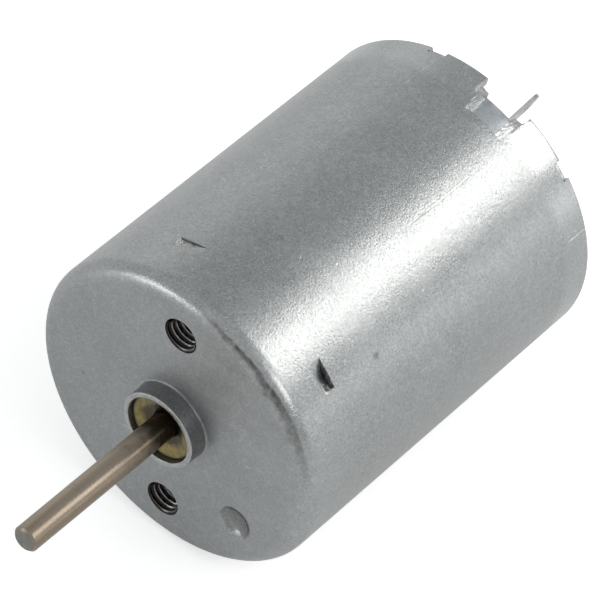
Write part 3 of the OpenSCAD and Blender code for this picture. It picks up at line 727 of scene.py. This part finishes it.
def pressed(depth, angle):
    """How far each point of the can is pushed towards the axis, and its outside and inside marks.
    A lance or stake is a ramp along the can times a bump round it."""
    lances, notches, _ = feature_angles()
    lance, notch, _, stake = half_widths()
    push, mark, mark_in = np.zeros((3, len(depth), len(angle)))
    for c, bite in zip(lances, LANCE_BITES):
        far_side = 1.0 if away(c, notches[0]) % 180.0 < 90.0 else -1.0
        across = far_side * away(angle, c) / lance
        dip = np.interp(across, [-1.0, -0.5, 0.0, 0.6, 0.94, 1.0, 1.06], [0, 0.35, 0.75, 0.7, 0.42, 0.15, 0])
        ramp = np.clip((depth - LANCE_START) / LANCE_RUN, 0, 1) ** 1.2 * (depth > 3) * (depth < 4.61)
        push += bite * size("lance_push") * ramp * dip
        torn = np.interp(across, [0.1, 0.5, 1.1, 1.2], [0, 1, 1, 0]) * (depth > 3.7) * (depth < 4.61)
        mark = np.maximum(mark, torn)
        # painted shade, partly oily, on the sheared rear wall of a lance: its inside points get the near-black
        # mark
        mark_in = np.where((np.abs(across) < 1.0) & (depth > 4.59) & (depth < 4.63), -1.0, mark_in)
    for c in notches:
        off = np.abs(away(angle, c))
        along = np.interp(depth, [28.9, 29.5, 30.0, 30.1], [0, 0.12, 0.42, 0.5])
        push += along * np.interp(off, [0, notch, stake - 0.3, stake], [1, 1, 0.55, 0])
        beside = (off < stake + 0.3) * (off > notch - 0.1)
        mark = np.maximum(mark, beside * np.clip((depth - 29.2) / 0.4, 0, 1))
        edge = np.interp(off, [notch - 0.1, notch, notch + 0.3, notch + 1.8], [0, 1, 0.9, 0])
        mark = np.maximum(mark, edge * (depth > 27.4))
        # painted shade on the cut walls of a notch: their inside points get the near-black mark
        mark_in = np.where((off < notch + 0.1) & (depth > 27.3), -0.7, mark_in)
    return push, mark, mark_in


def kept_cells(radius, depth, angle):
    """Which cells of the can are metal: all but the slits of the lances, the notches, the corners
    cut off beside them for the stakes, and the rim over the crimp tabs."""
    lances, notches, tabs = feature_angles()
    lance, notch, tab, stake = half_widths()
    keep = np.ones((len(depth) - 1, len(angle)), bool)
    middle = (depth[1:] + depth[:-1]) / 2
    mid_angle = angle + ((np.roll(angle, -1) - angle) % 360.0) / 2
    side_wall = radius[1:] > 11.9
    for c in lances:
        slit = (middle > LANCE_SLIT[0]) & (middle < LANCE_SLIT[1]) & side_wall
        keep &= ~((np.abs(away(mid_angle, c)) < lance) & slit)
    for c in notches:
        off = np.abs(away(mid_angle, c))
        keep &= ~((off < notch) & (middle > size("can_length") - size("notch_length")))
        keep &= ~((off < stake) & (middle > 30.05))
    for c in tabs:
        keep &= ~((np.abs(away(mid_angle, c)) < tab) & (middle > size("can_length") - size("tab_depth")))
    return keep


def can_sheet():
    """The drawn can as one sheet. Its outside and inside are grids of polar angle against the rows
    of can_rows, pushed in at the lances and stakes. The dimple is a bowl in the face, one minus the
    cube of the distance over its radius. Openings are cells left out, and points just inside a
    tapped hole are moved out onto its circle."""
    out_rows, in_rows = can_rows()
    angle = can_columns()
    radius, depth = out_rows[:, :1], out_rows[:, 1:]
    rows, cols = len(out_rows), len(angle)
    push, mark, mark_in = pressed(depth, angle)
    rim = -size("boss_height") + 0.1
    # the walls of the boss get the near-black mark at half strength
    mark = np.where((radius < size("boss_radius") + 0.05) & (depth > rim), -0.5, mark)
    mark = np.where(depth < rim, 0.7, mark)
    outer = polar(radius - push, depth, angle)
    inner = polar(in_rows[:, :1] - push, in_rows[:, 1:], angle)
    on_face = (depth < 0.01) & (radius > 6)
    t = math.radians(size("dimple_angle"))
    centre = size("screw_pitch") / 2 * np.array([math.cos(t), math.sin(t)]) * MM
    gone = np.hypot(outer[..., 0] - centre[0], outer[..., 2] - centre[1]) / (size("dimple_radius") * MM)
    bowl = np.where((gone < 1) & on_face, 1 - gone**3, 0)
    outer[..., 1] += bowl * size("dimple_depth") * MM
    # painted shade in the hollow of the dimple, laid through the near-black mark
    mark = np.where(bowl > 0, -0.4, mark)
    keep = kept_cells(radius, depth, angle)
    hole = (size("screw_radius") + MOUTH) * MM
    for side in SIDES:
        z = side * size("screw_pitch") / 2 * MM
        gone = np.where(on_face, np.hypot(outer[..., 0], outer[..., 2] - z), 1.0)
        deep = gone < hole
        right = np.roll(deep, -1, 1)
        keep &= ~(deep[:-1] & right[:-1] & deep[1:] & right[1:])
        grow = np.where(deep, hole / np.maximum(gone, 1e-7), 1.0)
        for sheet in (outer, inner):
            sheet[..., 0] *= grow
            sheet[..., 2] = z + (sheet[..., 2] - z) * grow
    number = np.arange(rows * cols).reshape(rows, cols)
    other = number + rows * cols
    other[0], other[-1] = number[0], number[-1]
    points = np.concatenate([outer.reshape(-1, 3), inner.reshape(-1, 3)])
    marks = np.concatenate([mark.ravel(), np.where(mark_in < 0, mark_in, mark).ravel()])
    return points, shell(number, other, keep), marks


def tapped_sleeve(side):
    """Threaded wall of a tapped hole: the bore radius falls by a ridge whose height follows the
    saw of (depth over pitch minus turns), and its mouth is chamfered. The grooves are near-black,
    partly oily and partly painted shade, and the crests are lighter as a painted glint."""
    major, pitch, collar, ridge = size("screw_radius"), size("thread_pitch"), 0.5, 0.2
    end, wide, cols, front = size("can_wall") + 0.9, major + MOUTH + 0.02, 56, 0.004
    s = np.linspace(0.0, end, 61)[:, None]
    angle = np.arange(cols) * 360.0 / cols
    phase = (s / pitch - angle / 360.0) % 1.0
    saw = np.clip(1.25 * (1 - np.abs(2 * phase - 1)) - 0.1, 0, 1)
    run_out = np.clip((s - 0.06) / 0.2, 0, 1) * np.clip((end - s) / 0.15, 0, 1)
    flare = MOUTH * np.clip(1 - s / 0.12, 0, 1) - 0.012
    bore = major + flare - ridge * saw * run_out
    back = np.array([[major + collar, end], [major + collar, 0.95], [wide, 0.9], [wide, front]])
    r = np.concatenate([bore, np.broadcast_to(back[:, :1], (len(back), cols))])
    depth = np.maximum(np.concatenate([s, back[:, 1:]]), front)
    # near-black over the whole wall, partly oily and partly painted shade; the crests get less of it, as a
    # painted glint
    mark = np.full(r.shape, -1.0)
    mark[: len(bore)] += 0.85 * np.clip(2.5 * saw - 1.5, 0, 1) * run_out
    points = at(polar(r, depth, angle).reshape(-1, 3), side * size("screw_pitch") / 2, 90.0)
    return points, grid(len(r), cols, wrap_rows=True).tolist(), mark.ravel()


def crimp_tab(angle):
    """Small tongue folded in over the end cap: a rounded slab lying across the rim."""
    root, half_wide = size("can_length") - size("tab_depth"), size("tab_width") / 2 - 0.04
    flat = box_outline(size("can_radius") - 0.76, 0.64, half_wide, 0.12)
    return slab(flat, root - 0.04, root + 0.36, 0.1, radial_frame(angle))


class MOTOR_OT_can(bpy.types.Operator):
    """Builds the drawn can with its boss, tapped holes, lances, notches, stakes and tabs"""

    bl_idname = "motor.make_can"
    bl_label = "Can"

    def execute(self, context):
        can = Sheet()
        can.add(*can_sheet())
        for side in SIDES:
            can.add(*tapped_sleeve(side))
        for angle in feature_angles()[2]:
            can.add(*crimp_tab(angle), mark=0.6)
        can.piece("drawn_can", STATOR, ["can"], "can_steel", 34)
        return {"FINISHED"}


# Bearings and shaft -----------------------------------------------------------------------


def turned(corners, radii, steps, columns, closed=True):
    """A new piece: a rounded outline carried round the shaft."""
    return Sheet().add(*lathe(rounded(corners, radii, steps, closed), columns))


class MOTOR_OT_bearings(bpy.types.Operator):
    """Builds the two sintered sleeve bearings"""

    bl_idname = "motor.make_bearings"
    bl_label = "Bearings"

    def execute(self, context):
        seat = size("boss_radius") - size("boss_wall")
        bore, lip = size("journal_radius") + 0.03, size("shaft_radius") + 0.06
        front, back = depths("front_bearing")
        sleeve = turned(
            [(bore, back), (seat, back), (seat, front), (seat - 0.15, front), (seat - 0.4, front + 0.06),
             (lip, front + 0.4), (lip, front + 0.46), (bore, front + 0.5)],
            [0.1, 0.2, 0.08, 0.05, 0.3, 0.03, 0.03, 0.02], 4, 96,
        )
        sleeve.piece("front_sleeve", STATOR, ["front_bearing"], "bronze")
        (front, back), outer = depths("rear_bearing"), radius_of("rear_bearing")
        sleeve = turned(
            [(bore, front), (outer, front), (outer, back), (outer - 0.25, back), (bore + 0.3, back - 0.12),
             (bore, back - 0.35)],
            [0.1, 0.2, 0.08, 0.1, 0.1, 0.05], 4, 96,
        )
        sleeve.piece("rear_sleeve", STATOR, ["rear_bearing"], "bronze")
        return {"FINISHED"}


class MOTOR_OT_shaft(bpy.types.Operator):
    """Builds the ground shaft with its chamfered ends"""

    bl_idname = "motor.make_shaft"
    bl_label = "Shaft"

    def execute(self, context):
        tip, end = depths("shaft")
        thin, thick, cut, step = size("shaft_radius"), size("journal_radius"), 0.2, -0.5
        shaft = turned(
            [(0, tip), (thin - cut, tip), (thin, tip + cut), (thin, step), (thick, step), (thick, end - cut),
             (thick - cut, end), (0, end)],
            [0, 0.05, 0.07, 0.02, 0.05, 0.07, 0.05, 0], 4, 72, False,
        )
        shaft.piece("ground_shaft", ROTOR, ["shaft"], "shaft_steel", 40)
        return {"FINISHED"}


# End cap, brush base and terminals --------------------------------------------------------


class MOTOR_OT_end_cap(bpy.types.Operator):
    """Builds the pressed end cap with its bearing hub"""

    bl_idname = "motor.make_end_cap"
    bl_label = "End cap"

    def execute(self, context):
        (front, top), r = depths("end_cap"), radius_of("end_cap")
        face, sheet, hub, bore = size("can_length") - CAP_INSET, CAP_SHEET, 3.0, radius_of("rear_bearing")
        cap = turned(
            [(r - sheet, front), (r, front), (r, face), (7.0, face), (6.6, face + 0.001), (hub, face),
             (hub, top), (bore, top), (bore, face - sheet), (r - sheet, face - sheet)],
            [0.1, 0.15, 0.45, 0, 0, 0.25, 0.2, 0.15, 0.1, 0.25], 6, 160,
        )
        cap.piece("pressed_cap", STATOR, ["end_cap"], "cap_steel")
        return {"FINISHED"}


class MOTOR_OT_brush_base(bpy.types.Operator):
    """Builds the moulded brush base with its terminal blocks and riveted posts"""

    bl_idname = "motor.make_brush_base"
    bl_label = "Brush base"

    def execute(self, context):
        r, front = radius_of("brush_base"), depths("brush_base")[0]
        face = size("can_length") - CAP_INSET
        inside, plate, rim, core = face - CAP_SHEET, 1.2, 0.9, 4.0
        base = turned(
            [(core, inside - plate), (r - rim, inside - plate), (r - rim, front), (r, front), (r, inside),
             (core, inside)],
            [0.1, 0.15, 0.15, 0.15, 0.1, 0.1], 4, 120,
        )
        wide, long = size("terminal_sheet") / 2 + 1.2, size("terminal_width") / 2 + 0.7
        block = box_outline(TERMINAL_RADIUS, long, wide, 0.25)
        root, post_radius = inside - 0.6, 8.0
        post = rounded(
            [(0, root), (0.75, root), (0.75, face), (1.2, face), (1.2, face + 0.22), (0.6, face + 0.5),
             (0, face + 0.5)],
            [0, 0.05, 0.02, 0.05, 0.2, 0.4, 0], 5, False,
        )
        points, faces = lathe(post, 40)
        for pole in POLES:
            angle = size("terminal_angle") + pole
            base.add(*slab(block, root, face + 0.8, 0.15, radial_frame(angle)))
            base.add(at(points, post_radius, angle + 90), faces)
        base.piece("moulded_base", STATOR, ["brush_base"], "base_plastic")
        return {"FINISHED"}


def solder_tab(angle):
    """A tab with a round tip and a wire hole: rings round the hole, matched point by point to the
    outline, with rounded edges. The outer part leans, as a shift that grows with depth."""
    half_width, half = size("terminal_width") / 2, size("terminal_sheet") / 2
    front, tip = depths("terminal_a")
    hole, eye, lean_from = 0.55, tip - 1.4, size("can_length") - CAP_INSET + 0.8
    side = np.linspace(front, tip - half_width, 20)
    cap = np.radians(np.linspace(0, 180, 25)[1:-1])
    outline = np.concatenate([
        np.column_stack([np.full(20, half_width), side]),
        np.column_stack([half_width * np.cos(cap), tip - half_width + half_width * np.sin(cap)]),
        np.column_stack([np.full(20, -half_width), side[::-1]]),
        np.column_stack([np.linspace(-half_width, half_width, 9)[1:-1], np.full(7, front)]),
    ])
    look = np.arctan2(outline[:, 1] - eye, outline[:, 0])
    ring = np.column_stack([hole * np.cos(look), eye + hole * np.sin(look)])
    edge, inward = 0.05, (ring - outline) / np.linalg.norm(ring - outline, axis=1, keepdims=True)
    drawn = outline * [1 - edge / half_width, 1]
    drawn = drawn + [0, -edge] * (outline[:, 1:] > eye) + [0, edge] * (outline[:, 1:] <= front)
    wider = ring - edge * inward
    rows = [(ring, -half + edge), (wider, -half), (drawn, -half), (outline, -half + edge),
            (outline, half - edge), (drawn, half), (wider, half), (ring, half - edge)]
    flat = np.stack([np.column_stack([p, np.full(len(p), z)]) for p, z in rows])
    lean = np.maximum(flat[..., 1] - lean_from, 0) * math.tan(math.radians(2.5))
    local = np.stack([flat[..., 0] + TERMINAL_RADIUS, flat[..., 2] + lean, flat[..., 1]], -1)
    points = radial_frame(angle)(local.reshape(-1, 3))
    return points, grid(len(rows), len(outline), wrap_rows=True).tolist()


class MOTOR_OT_terminals(bpy.types.Operator):
    """Builds the two tinned solder tabs"""

    bl_idname = "motor.make_terminals"
    bl_label = "Solder tabs"

    def execute(self, context):
        for letter, pole in zip("ab", POLES):
            tab = Sheet().add(*solder_tab(size("terminal_angle") + pole))
            tab.piece(f"solder_tab_{letter}", STATOR, [f"terminal_{letter}"], "tinned_brass", 40)
        return {"FINISHED"}


class MOTOR_OT_inner_parts(bpy.types.Operator):
    """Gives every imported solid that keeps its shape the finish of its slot"""

    bl_idname = "motor.finish_inner_parts"
    bl_label = "Inner parts"

    def execute(self, context):
        slots = {
            "ferrite": ("magnet_a", "magnet_b"), "spring_steel": ("magnet_spring_a", "magnet_spring_b"),
            "arm_bronze": ("brush_arm_a", "brush_arm_b"), "carbon": ("carbon_brush_a", "carbon_brush_b"),
            "washer_plastic": ("front_thrust_washers", "rear_thrust_washers"),
            "spacer_brass": ("front_spacer",), "core_steel": ("core_laminations",),
            "core_insulation": ("core_insulators",),
            "copper_wire": ("winding_1", "winding_2", "winding_3"), "phenolic": ("commutator_hub",),
            "bar_copper": ("commutator_bar_1", "commutator_bar_2", "commutator_bar_3"),
            "binding_fibre": ("commutator_binding",), "varistor_ceramic": ("varistor_ring",),
        }
        for name, nodes in slots.items():
            for node in nodes:
                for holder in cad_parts[node].material_slots:
                    holder.material = finishes()[name]
        return {"FINISHED"}


# Stage ------------------------------------------------------------------------------------


def look_at(location, target, roll=0.0):
    """A matrix at a place whose -Z axis points to a target and whose X axis is turned by a roll."""
    back = (location - target).normalized()
    right = Vector((0, 0, 1)).cross(back).normalized()
    up = back.cross(right)
    turned = right * math.cos(roll) + up * math.sin(roll)
    axes = Matrix((turned, back.cross(turned), back)).transposed()
    return Matrix.Translation(location) @ axes.to_4x4()


def towards(azimuth, elevation):
    """A unit vector at an azimuth from -Y towards +X and an elevation, in degrees."""
    a, e = math.radians(azimuth), math.radians(elevation)
    return Vector((math.sin(a) * math.cos(e), -math.cos(a) * math.cos(e), math.sin(e)))


def soft_light(name, azimuth, elevation, distance, width, height, brightness, tint=(1, 1, 1)):
    """A rectangular light aimed at the motor. Its power is brightness times pi times its area."""
    data = bpy.data.lights.new(name, "AREA")
    data.shape, data.size, data.size_y = "RECTANGLE", width, height
    data.energy, data.color = brightness * math.pi * width * height, tint
    lamp = bpy.data.objects.new(name, data)
    middle = Vector((0, 0.015, 0))
    lamp.matrix_world = look_at(middle + towards(azimuth, elevation) * distance, middle)
    bpy.context.scene.collection.objects.link(lamp)


class MOTOR_OT_stage(bpy.types.Operator):
    """Sets the floor, the lights, the world and the camera"""

    bl_idname = "motor.make_stage"
    bl_label = "Stage"

    def execute(self, context):
        scene = context.scene
        scene.view_settings.view_transform = "Standard"
        low, half = -size("can_radius") * MM - 0.00002, 1.5
        corners = [(x * half, y * half, low) for x, y in ((-1, -1), (1, -1), (1, 1), (-1, 1))]
        mesh = bpy.data.meshes.new("floor")
        mesh.from_pydata(corners, [], [(0, 1, 2, 3)])
        mesh.materials.append(self.floor_paper())
        floor = bpy.data.objects.new("floor", mesh)
        scene.collection.objects.link(floor)
        scene.world = scene.world or bpy.data.worlds.new("studio")
        self.light_room(scene.world)
        soft_light("streak_box", 140, 38.5, 0.45, 0.20, 0.18, 3.8, (1.0, 0.98, 0.935))
        soft_light("corner_box", 88, 37, 0.45, 0.20, 0.14, 3.6, (1.0, 0.985, 0.95))
        soft_light("side_box", 126, 6, 0.5, 0.30, 0.12, 0.85)
        soft_light("left_box", -126, 15, 0.6, 0.34, 0.30, 0.22, (1.0, 0.97, 0.88))
        soft_light("front_box", -34, 7, 0.5, 0.22, 0.14, 3.0, (1.0, 0.985, 0.94))
        data = bpy.data.cameras.new("camera")
        data.lens, data.sensor_width = 270.35, 36.0
        data.clip_start, data.clip_end = 0.01, 20.0
        camera = bpy.data.objects.new("camera", data)
        aim, away_from, roll = Vector((-0.121, 13.615, 1.288)) * MM, 0.31335, math.radians(7.898)
        camera.matrix_world = look_at(aim + towards(34.174, 47.462) * away_from, aim, roll)
        scene.collection.objects.link(camera)
        scene.camera = camera
        return {"FINISHED"}

    def light_room(self, world):
        """A white room. It is dimmer for all but the camera's rays, and most so at the ceiling behind."""
        world.use_nodes = True
        nodes, sky = Nodes(world.node_tree), world.node_tree.nodes["Background"]
        sky.inputs["Color"].default_value = (0.965, 0.99, 1.0, 1.0)
        look = nodes.node("ShaderNodeTexCoord").outputs["Generated"]
        behind = nodes.node("ShaderNodeVectorMath", {0: look, 1: towards(-150, 58)}, operation="DOT_PRODUCT")
        dim = nodes.levels(behind.outputs["Value"], 0.88, 0.985, ROOM_LIGHT, CEILING_LIGHT, smooth=True)
        seen = nodes.node("ShaderNodeLightPath").outputs["Is Camera Ray"]
        world.node_tree.links.new(nodes.levels(seen, 0.0, 1.0, dim, 1.0), sky.inputs["Strength"])

    def floor_paper(self):
        """White paper that keeps the shadow: matt white, with added light for the camera's rays."""
        f = Finish("floor_paper", roughness=0.9)
        grain = f.noise(900, 3.0, 0.5)
        f.tone = f.mix(f.levels(grain, 0.3, 0.7), shade(colour("floor"), 0.985), colour("floor"))
        f.shader.inputs["Emission Color"].default_value = (1, 1, 1, 1)
        seen = f.node("ShaderNodeLightPath").outputs["Is Camera Ray"]
        return f.done(None, f.bump(grain, 0.000004), Emission_Strength=f.scaled(seen, 0.47, 0.025))


# Panel and running ------------------------------------------------------------------------

OPERATORS = (
    MOTOR_OT_can, MOTOR_OT_bearings, MOTOR_OT_shaft, MOTOR_OT_end_cap, MOTOR_OT_brush_base,
    MOTOR_OT_terminals, MOTOR_OT_inner_parts, MOTOR_OT_stage,
)


class MOTOR_PT_panel(bpy.types.Panel):
    """Lists the motor's pieces, sizes and colours"""

    bl_label = "Motor"
    bl_idname = "MOTOR_PT_panel"
    bl_space_type = "VIEW_3D"
    bl_region_type = "UI"
    bl_category = "Motor"

    def draw(self, context):
        for operator in OPERATORS:
            self.layout.operator(operator.bl_idname)
        for group in (context.scene.motor_sizes, context.scene.motor_colours):
            column = self.layout.column()
            for name in group.__annotations__:
                column.prop(group, name)


CLASSES = (MotorSizes, MotorColours, *OPERATORS, MOTOR_PT_panel)


def register():
    """Registers the classes and their two groups of properties."""
    for item in CLASSES:
        bpy.utils.register_class(item)
    bpy.types.Scene.motor_sizes = bpy.props.PointerProperty(type=MotorSizes)
    bpy.types.Scene.motor_colours = bpy.props.PointerProperty(type=MotorColours)


def unregister():
    """Undoes register."""
    del bpy.types.Scene.motor_colours
    del bpy.types.Scene.motor_sizes
    for item in reversed(CLASSES):
        bpy.utils.unregister_class(item)


def main():
    """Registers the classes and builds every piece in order."""
    register()
    for operator in OPERATORS:
        group, name = operator.bl_idname.split(".")
        getattr(getattr(bpy.ops, group), name)()


if __name__ == "__main__":
    main()
